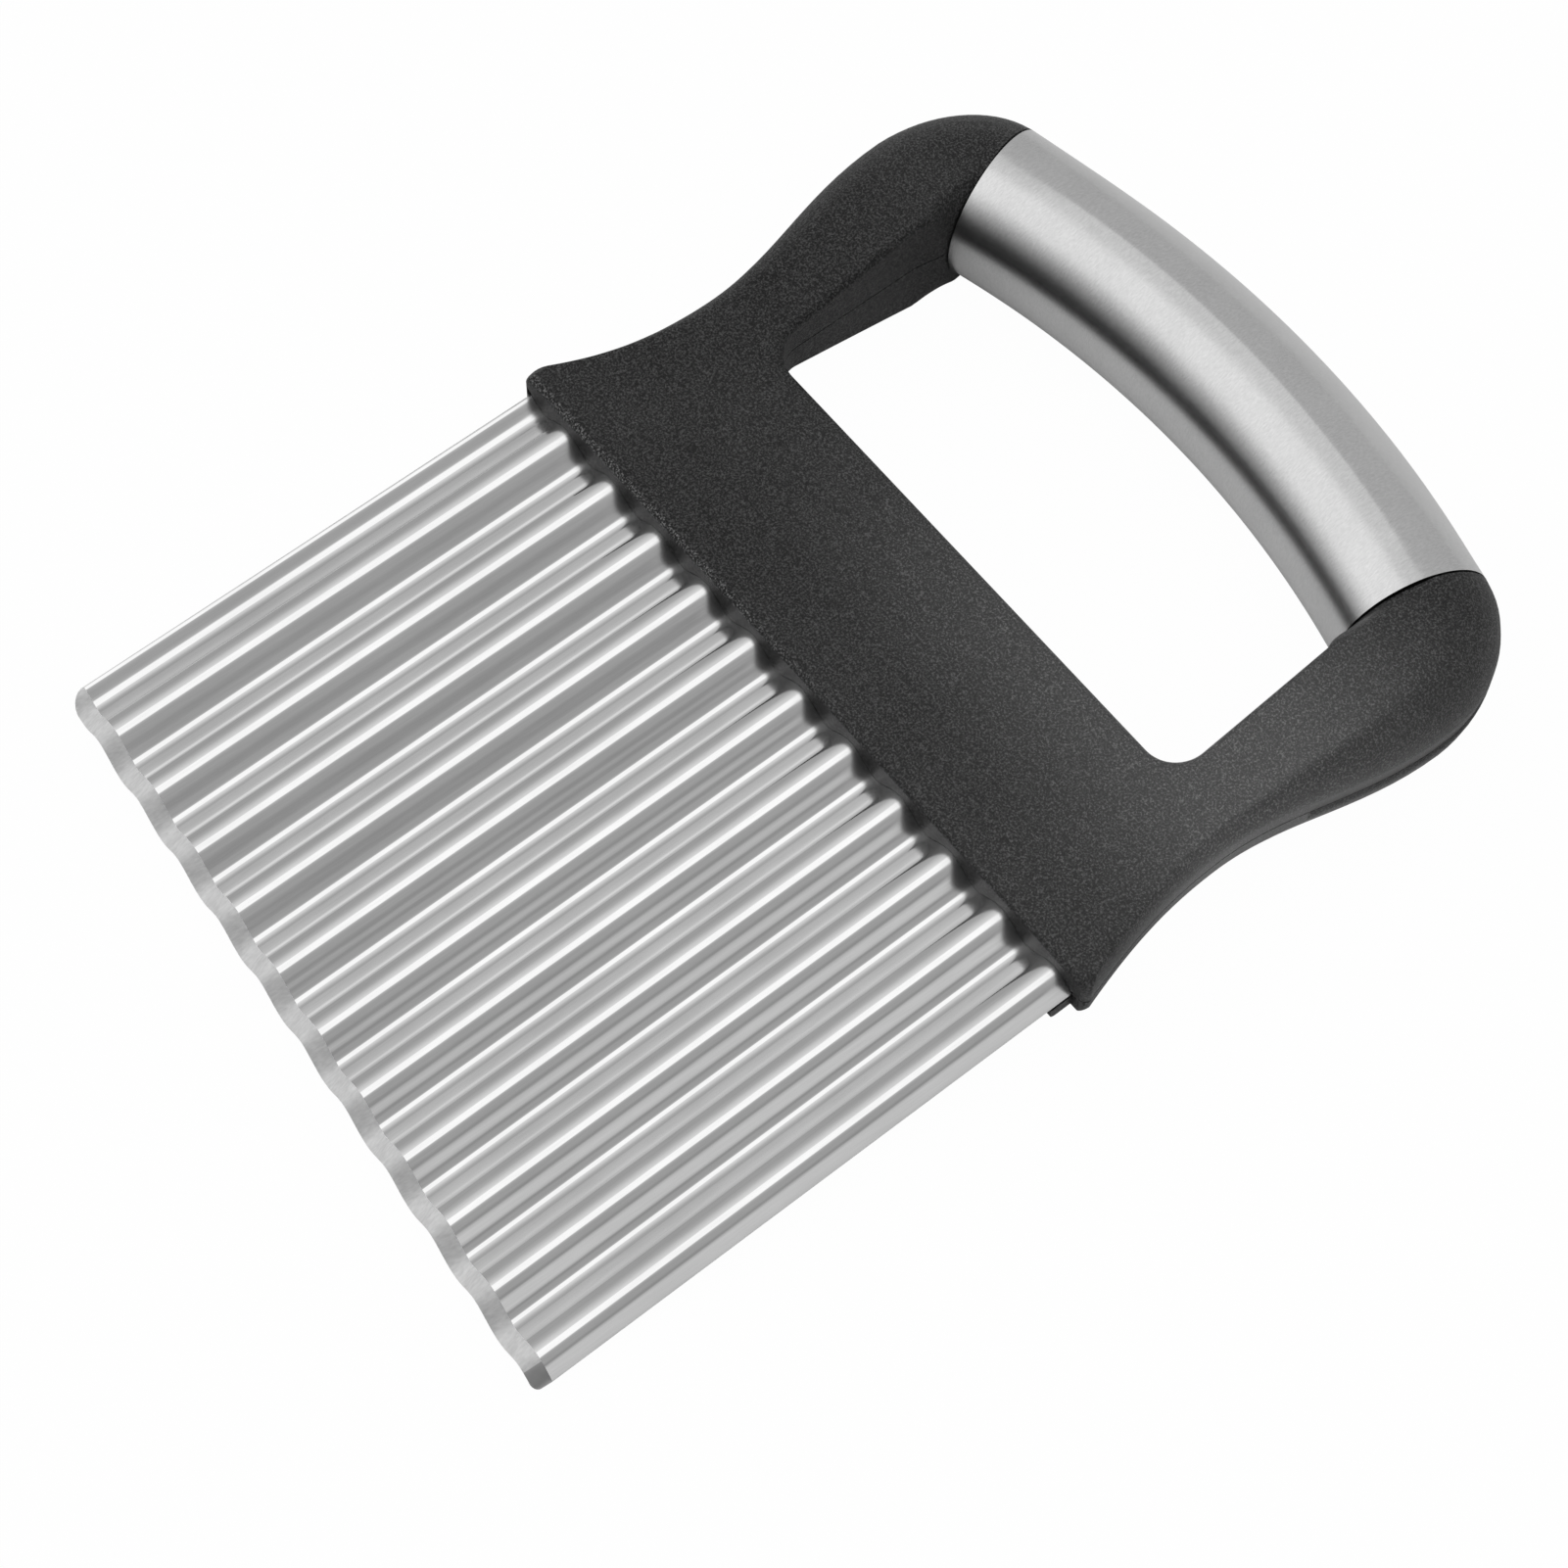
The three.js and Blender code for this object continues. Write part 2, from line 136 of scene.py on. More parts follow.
def begin(add, name, **settings):
    """Adds a primitive as a new object, named, with nothing else selected."""
    bpy.ops.object.select_all(action="DESELECT")
    add(**settings)
    piece = bpy.context.object
    piece.name = name
    piece.data.name = name
    return piece


def begin_empty(name):
    """A new object without points, in edit mode."""
    piece = begin(bpy.ops.mesh.primitive_circle_add, name, vertices=3, radius=0.001)
    edit(piece)
    bpy.ops.mesh.select_all(action="SELECT")
    bpy.ops.mesh.delete(type="VERT")
    return piece


def edit(piece):
    activate(piece)
    bpy.ops.object.mode_set(mode="EDIT")
    bpy.ops.mesh.select_mode(type="VERT")


def leave():
    bpy.ops.object.mode_set(mode="OBJECT")


def leave_facing_out():
    bpy.ops.mesh.select_all(action="SELECT")
    bpy.ops.mesh.normals_make_consistent(inside=False)
    leave()


def pick(piece, kind, test):
    """Selects the points, edges or faces that pass the test, and nothing else."""
    bpy.ops.mesh.select_mode(type=kind)
    bpy.ops.mesh.select_all(action="DESELECT")
    mesh = bmesh.from_edit_mesh(piece.data)
    for item in {"VERT": mesh.verts, "EDGE": mesh.edges, "FACE": mesh.faces}[kind]:
        item.select = bool(test(item))
    mesh.select_flush_mode()
    bmesh.update_edit_mesh(piece.data)


def cut_all(place, normal, clear=False):
    """Cuts the whole mesh by a plane, and clears the side that the normal points to if asked."""
    bpy.ops.mesh.select_all(action="SELECT")
    bpy.ops.mesh.bisect(
        plane_co=place, plane_no=normal, clear_outer=clear, threshold=CUT_THRESHOLD,
    )


def modify(piece, kind, **settings):
    activate(piece)
    modifier = piece.modifiers.new(kind, kind)
    for key, value in settings.items():
        setattr(modifier, key, value)
    bpy.ops.object.modifier_apply(modifier=modifier.name)


def carve(piece, tool, operation="DIFFERENCE"):
    """Takes the tool from the piece, or joins it on, and removes the tool."""
    modify(piece, "BOOLEAN", object=tool, operation=operation, solver="EXACT")
    bpy.data.objects.remove(tool, do_unlink=True)


def copy_of(piece, name):
    activate(piece)
    bpy.ops.object.duplicate()
    twin = bpy.context.object
    twin.name = name
    twin.data.name = name
    return twin


def smooth(piece, degrees):
    activate(piece)
    bpy.ops.object.shade_smooth_by_angle(angle=math.radians(degrees), keep_sharp_edges=True)


def apply_place():
    bpy.ops.object.transform_apply(location=True, rotation=True, scale=True)


def lerp(a, b, share):
    return a + (b - a) * share


def clamp(value):
    return min(max(value, 0), 1)


def smoothstep(value, low, high):
    share = clamp((value - low) / (high - low))
    return share * share * (3 - 2 * share)


def bezier(points, share):
    a, b, c, d = points
    rest = 1 - share
    return rest ** 3 * a + 3 * rest ** 2 * share * b + 3 * rest * share ** 2 * c + share ** 3 * d


def on_arc(centre, radius, degrees):
    turn = math.radians(degrees)
    return centre + radius * Vector((math.cos(turn), math.sin(turn)))


# Blade

def wave_point(x, offset):
    """The corrugation at x, moved along its own normal: where it comes to lie across and up."""
    turn = 2 * math.pi * (x - CREST_SHIFT) / WAVE_PITCH
    slope = math.atan(-WAVE_DEPTH / 2 * math.sin(turn) * 2 * math.pi / WAVE_PITCH)
    height = WAVE_DEPTH / 2 * math.cos(turn)
    return x - math.sin(slope) * offset, height + math.cos(slope) * offset


def corrugated(name, offset, ends, low, high):
    """A thin corrugated sheet: one wave shaped by columns, then repeated and trimmed to width."""
    waves = math.ceil((max(ends) - min(ends)) / 2 / WAVE_PITCH) + 2
    first = CREST_SHIFT - waves * WAVE_PITCH
    sheet = begin(
        bpy.ops.mesh.primitive_grid_add, name, x_subdivisions=WAVE_STEPS, y_subdivisions=1, size=1,
    )
    sheet.scale = (WAVE_PITCH, high - low, 1)
    sheet.location = (first + WAVE_PITCH / 2, (low + high) / 2, 0)
    apply_place()
    edit(sheet)
    for step in range(WAVE_STEPS + 1):
        x = first + WAVE_PITCH * step / WAVE_STEPS
        across, height = wave_point(x, offset)
        pick(sheet, "VERT", lambda point: point.index % (WAVE_STEPS + 1) == step)
        bpy.ops.transform.translate(value=(across - x, 0, height))
    leave()
    modify(
        sheet, "ARRAY", count=2 * waves, use_relative_offset=False, use_constant_offset=True,
        constant_offset_displace=(WAVE_PITCH, 0, 0), use_merge_vertices=True,
        merge_threshold=MERGE_DISTANCE,
    )
    edit(sheet)
    for end in ends:
        cut_all((end, 0, 0), (math.copysign(1, end), 0, 0), clear=True)
    leave()
    return sheet


def edge_at(x):
    """The cutting edge's place along Y: slanted, with rounded corners."""
    corner = BLADE_CORNERS[x > 0]
    into = max(0, abs(x) - (abs(BLADE_ENDS[x > 0]) - corner))
    rise = corner - math.sqrt(max(0, corner ** 2 - into ** 2))
    return EDGE_INSET - BLADE_REACH - x * math.tan(EDGE_SLANT) + rise


def trim_edge(sheet):
    """The slanted cutting edge, its two rounded corners, and the line where the bevel starts."""
    out = Vector((-math.sin(EDGE_SLANT), -math.cos(EDGE_SLANT), 0))
    middle = Vector((0, EDGE_INSET - BLADE_REACH, 0))
    cut_all(middle, out, clear=True)
    slant = math.degrees(math.atan2(out.y, out.x))
    for end, corner in zip(BLADE_ENDS, BLADE_CORNERS):
        x = end - math.copysign(corner, end)
        y = middle.y - x * math.tan(EDGE_SLANT) + corner / math.cos(EDGE_SLANT)
        across = 0 if end > 0 else -180
        for cut in range(1, CORNER_CUTS + 1):
            degrees = lerp(across, slant, cut / (CORNER_CUTS + 1))
            normal = on_arc(Vector((0, 0)), 1, degrees).to_3d()
            cut_all(Vector((x, y, 0)) + corner * normal, normal, clear=True)
    cut_all(middle - BEVEL_LENGTH * out, out)


def trim_tang(sheet, half_width, shoulder, depth):
    """Steps the sheet in to the tang's width above the shoulder."""
    cut_all((0, depth, 0), (0, 1, 0), clear=True)
    cut_all((0, shoulder, 0), (0, 1, 0))
    for side in (-1, 1):
        pick(sheet, "FACE", lambda face: face.calc_center_median().y > shoulder)
        bpy.ops.mesh.bisect(
            plane_co=(side * half_width, 0, 0), plane_no=(side, 0, 0), threshold=CUT_THRESHOLD,
        )

    def beside_tang(face):
        place = face.calc_center_median()
        return place.y > shoulder and abs(place.x) > half_width

    pick(sheet, "FACE", beside_tang)
    bpy.ops.mesh.delete(type="FACE")


def make_blade():
    """The sheet, thickened from a thin cutting edge to its full gauge at the end of the bevel."""
    low = -CUT_REACH - 2 * BEVEL_LENGTH
    blade = corrugated("corrugated_blade", -SHEET / 2, BLADE_ENDS, low, TANG_DEPTH)
    edit(blade)
    trim_edge(blade)
    trim_tang(blade, TANG_HALF_WIDTH, TANG_SHOULDER, TANG_DEPTH)
    leave()
    full = blade.vertex_groups.new(name="full_thickness")
    for point in blade.data.vertices:
        share = (point.co.y - edge_at(point.co.x)) / BEVEL_LENGTH
        full.add([point.index], clamp(share), "REPLACE")
    modify(
        blade, "SOLIDIFY", thickness=SHEET, offset=1, use_even_offset=True,
        vertex_group=full.name, thickness_vertex_group=EDGE_THICKNESS / SHEET,
    )
    blade.vertex_groups.clear()
    return blade


# Handle

# A section across the handle: its outer and inner end, half its thickness there, and its roundings.
Station = namedtuple(
    "Station", "outer inner outer_half inner_half outer_round rear_round front_round"
)

# How far each side of the handle lies from the middle, and how soon it turns in above the lip.
Side = namedtuple("Side", "lip waist elbow window flare")
LEFT = Side(0.0574, 0.0517, 0.0571, 0.0401, 0.18)
RIGHT = Side(0.0570, 0.0526, 0.05779, 0.0412, 0.11)

ARM_FOOT = WINDOW_BOTTOM + WINDOW_CORNER
ARM_TOP = JOINT_INNER.y - ELBOW_DROP
ARM_RISE = ELBOW_HEIGHT - WAIST_HEIGHT
ELBOW_RISE = JOINT_OUTER.y - ELBOW_HEIGHT
THICKENING = 1.05
WAIST_ROUNDING = 0.8 * HALF_BAR
ELBOW_ROUNDING = 0.75 * GRIP_RADIUS
JOINT_REAR_ROUNDING = 0.5 * GRIP_RADIUS

# The two middle points of each outer curve, as shares of its rise
LIP_PULLS = (0.36, 0.65)
ARM_PULLS = (0.36, 0.41)
ELBOW_PULLS = (0.47, 0.37)

# The sections that fan out round the window's lower corner are counted in turns. These are the
# turns at which their outer end leaves the lip, the lip's corner and the waist, the number of turns
# in the fan, and the number that the whole arm would take.
LIP_TURN = 2
CORNER_TURN = 5
WAIST_TURN = 10
FAN_TURNS = 12
ARM_TURNS = 10

BAR_SECTIONS = 3
SECTIONS_PER_TURN = 4
ARM_SECTIONS = 12
ELBOW_SECTIONS = 16
SECTION_POINTS = 32


def side_low(side, share):
    return bezier((
        Vector((side.lip, LIP_CORNER - LIP_DROP)),
        Vector((side.lip - side.flare * WAIST_HEIGHT, LIP_PULLS[0] * WAIST_HEIGHT)),
        Vector((side.waist, LIP_PULLS[1] * WAIST_HEIGHT)),
        Vector((side.waist, WAIST_HEIGHT)),
    ), share)


def side_high(side, share):
    return bezier((
        Vector((side.waist, WAIST_HEIGHT)),
        Vector((side.waist, WAIST_HEIGHT + ARM_PULLS[0] * ARM_RISE)),
        Vector((side.elbow, ELBOW_HEIGHT - ARM_PULLS[1] * ARM_RISE)),
        Vector((side.elbow, ELBOW_HEIGHT)),
    ), share)


def elbow_turn(side, share):
    return bezier((
        Vector((side.elbow, ELBOW_HEIGHT)),
        Vector((side.elbow, ELBOW_HEIGHT + ELBOW_PULLS[0] * ELBOW_RISE)),
        JOINT_OUTER + ELBOW_PULLS[1] * ELBOW_RISE * JOINT_ALONG,
        JOINT_OUTER,
    ), share)


def half_thickness(y):
    """Half the bar up to the window's bottom, growing to the tube's radius at the joint."""
    share = clamp((y - WINDOW_BOTTOM) / (JOINT_INNER.y - WINDOW_BOTTOM))
    return HALF_BAR + (GRIP_RADIUS - ELBOW_INSET - HALF_BAR) * share ** THICKENING


def station(outer, inner, outer_round, rear_round=WINDOW_ROUNDING, front_round=WINDOW_ROUNDING):
    """A section with the arm's thickness, held above the table on its inner side."""
    half = half_thickness(inner.y)
    clear = GRIP_RADIUS - (JOINT_AXIS.y - inner.y) * math.tan(TILT) - ELBOW_INSET
    return Station(outer, inner, half, min(half, clear), outer_round, rear_round, front_round)


def fan_station(side, turn):
    """Round the window's lower corner: along the lip, its corner and the side."""
    corner_start = side.window - WINDOW_CORNER
    lip_centre = Vector((side.lip - LIP_CORNER, LIP_CORNER - LIP_DROP))
    if turn < LIP_TURN:
        outer = Vector((lerp(corner_start, lip_centre.x, turn / LIP_TURN), -LIP_DROP))
    elif turn < CORNER_TURN:
        degrees = 90 / (CORNER_TURN - LIP_TURN) * (turn - LIP_TURN)
        outer = on_arc(lip_centre, LIP_CORNER, -90 + degrees)
    elif turn < WAIST_TURN:
        outer = side_low(side, (turn - CORNER_TURN) / (WAIST_TURN - CORNER_TURN))
    else:
        outer = side_high(side, (turn - WAIST_TURN) / ARM_TURNS)
    window_centre = Vector((corner_start, ARM_FOOT))
    inner = on_arc(window_centre, WINDOW_CORNER, -90 + 90 * turn / FAN_TURNS)
    passed = smoothstep(turn, 0.5, CORNER_TURN)
    return station(outer, inner, lerp(LIP_ROUNDING, WAIST_ROUNDING, passed))


def arm_station(side, share):
    outer = side_high(side, lerp((FAN_TURNS - WAIST_TURN) / ARM_TURNS, 1, share))
    inner = Vector((side.window, lerp(ARM_FOOT, ARM_TOP, share)))
    return station(outer, inner, lerp(WAIST_ROUNDING, ELBOW_ROUNDING, share))


def elbow_station(side, share):
    """Towards the joint, where only the inner rear side stays squarer than the tube."""
    inner = Vector((side.window, ARM_TOP)).lerp(JOINT_INNER, share)
    return station(
        elbow_turn(side, share), inner, lerp(ELBOW_ROUNDING, GRIP_RADIUS, share),
        rear_round=lerp(WINDOW_ROUNDING, JOINT_REAR_ROUNDING, share),
        front_round=lerp(WINDOW_ROUNDING, GRIP_RADIUS, share ** 2),
    )


def side_stations(side):
    """From the middle of the bar to the joint with the tube."""
    corner_start = side.window - WINDOW_CORNER
    stations = []
    for step in range(BAR_SECTIONS):
        x = corner_start * (step / BAR_SECTIONS)
        stations.append(station(Vector((x, -LIP_DROP)), Vector((x, WINDOW_BOTTOM)), LIP_ROUNDING))
    for step in range(SECTIONS_PER_TURN * FAN_TURNS):
        stations.append(fan_station(side, step / SECTIONS_PER_TURN))
    for step in range(ARM_SECTIONS):
        stations.append(arm_station(side, step / ARM_SECTIONS))
    for step in range(ELBOW_SECTIONS + 1):
        stations.append(elbow_station(side, step / ELBOW_SECTIONS))
    return stations


def handle_stations():
    """From the left joint round the window to the right one."""
    flip = Vector((-1, 1))
    left = [
        at._replace(outer=at.outer * flip, inner=at.inner * flip) for at in side_stations(LEFT)
    ]
    return left[:0:-1] + side_stations(RIGHT)


def add_ring(piece, at):
    """A circle pulled apart into a rounded rectangle that stands across the handle."""
    centre = ((at.outer + at.inner) / 2).to_3d()
    across = (at.inner - at.outer).to_3d()
    half_width = across.length / 2
    across.normalize()
    outer_round = min(at.outer_round, half_width, at.outer_half)
    rear_round = min(at.rear_round, half_width, at.inner_half)
    front_round = min(at.front_round, half_width, at.inner_half)
    half_step = math.pi / SECTION_POINTS
    bpy.ops.mesh.select_all(action="DESELECT")
    bpy.ops.mesh.primitive_circle_add(
        vertices=SECTION_POINTS, radius=outer_round / math.cos(half_step), location=centre,
        rotation=(math.pi / 2, half_step, math.atan2(across.y, across.x)),
    )
    mesh = bmesh.from_edit_mesh(piece.data)
    mesh.verts.ensure_lookup_table()
    first = len(mesh.verts) - SECTION_POINTS
    corner_of = {}
    for index, point in enumerate(mesh.verts[first:], first):
        corner_of[index] = (point.co - centre).dot(across) > 0, point.co.z > 0
    for inner_side, front, rounding, half in (
        (False, False, outer_round, at.outer_half),
        (False, True, outer_round, at.outer_half),
        (True, False, rear_round, at.inner_half),
        (True, True, front_round, at.inner_half),
    ):
        pick(piece, "VERT", lambda point: corner_of.get(point.index) == (inner_side, front))
        bpy.ops.transform.resize(value=[rounding / outer_round] * 3, center_override=centre)
        shift = across * (half_width - rounding) * (1 if inner_side else -1)
        shift.z = (half - rounding) * (1 if front else -1)
        bpy.ops.transform.translate(value=shift)


def bridge_rings(piece, count, rings):
    """Joins each ring of points to the next one."""
    for ring in range(rings - 1):
        pair = (ring, ring + 1)

        def on_pair(line):
            met = {point.index // count for point in line.verts}
            return len(met) == 1 and met.pop() in pair

        pick(piece, "EDGE", on_pair)
        bpy.ops.mesh.bridge_edge_loops()


def make_body():
    """The whole moulded handle: rings from joint to joint, bridged, and closed at both ends."""
    stations = handle_stations()
    body = begin_empty("handle_body")
    for at in stations:
        add_ring(body, at)
    bridge_rings(body, SECTION_POINTS, len(stations))
    for ring in (0, len(stations) - 1):
        pick(body, "VERT", lambda point: point.index // SECTION_POINTS == ring)
        bpy.ops.mesh.edge_face_add()
    leave_facing_out()
    return body


SLOT_HALF = SHEET / 2 + SLOT_GAP
SEAM_CUTTER_SIZE = 0.3
BEYOND = 0.03


def widened(ends, more):
    return ends[0] - more, ends[1] + more


def extrude_beyond(side):
    bpy.ops.mesh.select_all(action="SELECT")
    bpy.ops.mesh.extrude_region_move(TRANSFORM_OT_translate={"value": (0, 0, -side * BEYOND)})


def wave_cutter(side):
    """All on the other side of the blade's slot: the blade's outline, out to a flat far side."""
    depth = TANG_DEPTH + SLOT_HALF
    ends = widened(BLADE_ENDS, SLOT_HALF)
    tool = corrugated("slot_cutter", side * SLOT_HALF, ends, -2 * LEDGE_REACH, depth)
    edit(tool)
    trim_tang(tool, TANG_HALF_WIDTH + SLOT_HALF, TANG_SHOULDER + SLOT_HALF, depth)
    extrude_beyond(side)
    bpy.ops.transform.resize(value=(1, 1, 0), center_override=(0, 0, -side * BEYOND))
    leave_facing_out()
    return tool


def seam_cutter(side):
    """All that lies across the flat parting plane, outside the blade's slot."""
    inset = SLOT_HALF - SEAM_GAP
    lip = (widened(BLADE_ENDS, inset), TANG_SHOULDER + inset)
    tang = (widened((-TANG_HALF_WIDTH, TANG_HALF_WIDTH), inset), TANG_DEPTH + inset)
    tool = begin(
        bpy.ops.mesh.primitive_plane_add, "seam_cutter", size=SEAM_CUTTER_SIZE,
        location=(0, 0, side * SEAM_GAP / 2),
    )
    apply_place()
    edit(tool)
    for ends, depth in (lip, tang):
        for end in ends:
            cut_all((end, 0, 0), (1, 0, 0))
        cut_all((0, depth, 0), (0, 1, 0))

    def in_slot(face):
        place = face.calc_center_median()
        return any(
            ends[0] < place.x < ends[1] and place.y < depth for ends, depth in (lip, tang)
        )

    pick(tool, "FACE", in_slot)
    bpy.ops.mesh.delete(type="FACE")
    extrude_beyond(side)
    leave_facing_out()
    return tool


def make_ledge():
    """The rear lip's tongue under the blade."""
    left, right = BLADE_ENDS[0] + LIP_ROUNDING, BLADE_ENDS[1] + LIP_ROUNDING / 2
    bottom, top = LIP_ROUNDING - HALF_BAR, WAVE_DEPTH
    root = 2 * LIP_ROUNDING
    ledge = begin(bpy.ops.mesh.primitive_cube_add, "ledge", size=1)
    ledge.scale = (right - left, LEDGE_REACH + root, top - bottom)
    ledge.location = ((left + right) / 2, (root - LEDGE_REACH) / 2, (bottom + top) / 2)
    apply_place()
    edit(ledge)
    pick(ledge, "EDGE", lambda line: all(end.co.y < 0 and end.co.z < 0 for end in line.verts))
    bpy.ops.mesh.bevel(offset=LEDGE_ROUNDING, segments=6, affect="EDGES")
    leave()
    return ledge


def make_shell(body, name, side):
    """One half of the handle: front (side 1) or rear (side -1), parted along slot and seam."""
    shell = copy_of(body, name)
    if side < 0:
        carve(shell, make_ledge(), "UNION")
    carve(shell, wave_cutter(side))
    carve(shell, seam_cutter(side))
    return shell


# Grip tube

TUBE_POINTS = 16
TUBE_RINGS = 17
TUBE_SMOOTHING = 3

# Ring points, counted round from the front one, and how far each is pressed in or out for the palm
PALM_PRESS = (
    ((0, 8), -0.025), ((9, 15), -0.065), ((10, 14), -0.09), ((11, 13), -0.045), ((12,), 0.12),
)
CREASE = 0.6


def make_tube():
    """Rings along the arch, pressed flatter on the palm side towards mid-span, then smoothed."""
    # Smoothing draws a ring in, so it starts wider.
    radius = GRIP_RADIUS * 3 / (2 + math.cos(2 * math.pi / TUBE_POINTS))
    stop = ARCH_END - TUBE_GAP / ARCH_RADIUS
    last = TUBE_RINGS - 1

    def turn_at(ring):
        return stop * (2 * ring / last - 1)

    def pressed_at(ring):
        return 1 - (turn_at(ring) / stop) ** 4

    tube = begin_empty("arched_grip")
    for ring in range(TUBE_RINGS):
        turn = turn_at(ring)
        out = Vector((math.sin(turn), math.cos(turn), 0))
        centre = Vector((0, ARCH_CENTRE, 0)) + ARCH_RADIUS * out
        bpy.ops.mesh.select_all(action="DESELECT")
        bpy.ops.mesh.primitive_circle_add(
            vertices=TUBE_POINTS, radius=radius, location=centre,
            rotation=(math.pi / 2, 0, math.pi / 2 - turn),
        )
        first = ring * TUBE_POINTS
        for steps, change in PALM_PRESS:
            pick(tube, "VERT", lambda point: point.index - first in steps)
            size = 1 + change * pressed_at(ring)
            bpy.ops.transform.resize(value=[size] * 3, center_override=centre)
    bridge_rings(tube, TUBE_POINTS, TUBE_RINGS)
    for ring in range(last):
        front = {ring * TUBE_POINTS, (ring + 1) * TUBE_POINTS}
        rear = {index + TUBE_POINTS // 2 for index in front}
        pick(tube, "EDGE", lambda line: {end.index for end in line.verts} in (front, rear))
        bpy.ops.transform.edge_crease(value=CREASE * pressed_at(ring + 0.5))
    leave_facing_out()
    modify(tube, "SUBSURF", levels=TUBE_SMOOTHING, render_levels=TUBE_SMOOTHING)
    modify(tube, "SOLIDIFY", thickness=GRIP_WALL, offset=-1, use_even_offset=True)
    return tube


# Finishes

class Value:
    """A node's output, with Python's arithmetic."""

    def __init__(self, finish, socket):
        self.finish = finish
        self.socket = socket

    def _math(self, operation, first, second):
        settings = {"operation": operation}
        return self.finish.add("ShaderNodeMath", settings, {0: first, 1: second})

    def __add__(self, other):
        return self._math("ADD", self, other)

    def __radd__(self, other):
        return self._math("ADD", other, self)

    def __sub__(self, other):
        return self._math("SUBTRACT", self, other)

    def __rsub__(self, other):
        return self._math("SUBTRACT", other, self)

    def __mul__(self, other):
        return self._math("MULTIPLY", self, other)

    def __rmul__(self, other):
        return self._math("MULTIPLY", other, self)

    def __truediv__(self, other):
        return self._math("DIVIDE", self, other)


class Finish:
    """A node tree under construction: a material's, or the world's."""

    def __init__(self, tree):
        self.tree = tree

    def add(self, kind, settings=None, inputs=None, output=0):
        node = self.tree.nodes.new(kind)
        for key, value in (settings or {}).items():
            setattr(node, key, value)
        self.feed(node, inputs or {})
        return Value(self, node.outputs[output])

    def feed(self, node, inputs):
        for key, value in inputs.items():
            if isinstance(value, Value):
                self.tree.links.new(value.socket, node.inputs[key])
            else:
                node.inputs[key].default_value = value


def new_finish(name, **constants):
    """A material with the shader's own sockets set, ready for its varying inputs."""
    material = bpy.data.materials.new(name)
    material.use_nodes = True
    finish = Finish(material.node_tree)
    shader = material.node_tree.nodes["Principled BSDF"]
    finish.feed(shader, {key.replace("_", " "): value for key, value in constants.items()})
    return material, finish, shader


def grey(level):
    return (level, level, level, 1)


def object_place(finish, scale=(1, 1, 1)):
    place = finish.add("ShaderNodeTexCoord", output="Object")
    return finish.add("ShaderNodeMapping", inputs={"Vector": place, "Scale": scale})


def tool_place(finish):
    """Object coordinates taken back to the cutter's own frame, one by one."""
    back = LAID.inverted()
    place = finish.add("ShaderNodeTexCoord", output="Object")
    inputs = {"Vector": place, "Location": back.translation, "Rotation": back.to_euler()}
    return split(finish, finish.add("ShaderNodeMapping", inputs=inputs))


def split(finish, place):
    first = finish.add("ShaderNodeSeparateXYZ", inputs={0: place})
    return [Value(finish, socket) for socket in first.socket.node.outputs]


def fade(finish, value, start, stop):
    """From 0 at start to 1 at stop, smoothly."""
    inputs = {"Value": value, "From Min": start, "From Max": stop}
    return finish.add("ShaderNodeMapRange", {"interpolation_type": "SMOOTHSTEP"}, inputs)


def noise(finish, place, scale, detail=2, roughness=0.5):
    inputs = {"Vector": place, "Scale": scale, "Detail": detail, "Roughness": roughness}
    return finish.add("ShaderNodeTexNoise", inputs=inputs)


def ramp(finish, value, stops):
    """Greys between the stops, which are pairs of a place from 0 to 1 and a level."""
    result = finish.add("ShaderNodeValToRGB", inputs={"Fac": value})
    elements = result.socket.node.color_ramp.elements
    while len(elements) < len(stops):
        elements.new(0.5)
    for element, (place, level) in zip(elements, stops):
        element.position = place
        element.color = grey(level)
    return result


def bump(finish, height, strength, distance):
    inputs = {"Height": height, "Strength": strength, "Distance": distance}
    return finish.add("ShaderNodeBump", inputs=inputs)


# Where light is painted on the plastic, each from the place where it starts to the place where it
# is full:
# a painted highlight near the lip's front edge (by the squared distance) and to the left; a painted
# sheen above the lip, to the right and below the grip.
LIP_HIGHLIGHT_NEAR = (1.2e-6, 0.1e-6)
LIP_HIGHLIGHT_LEFT = (0.02, -0.03)
SHEEN_ABOVE = (0.004, 0.028)
SHEEN_RIGHT = (-0.05, 0.05)
SHEEN_BELOW = (0.075, 0.035)


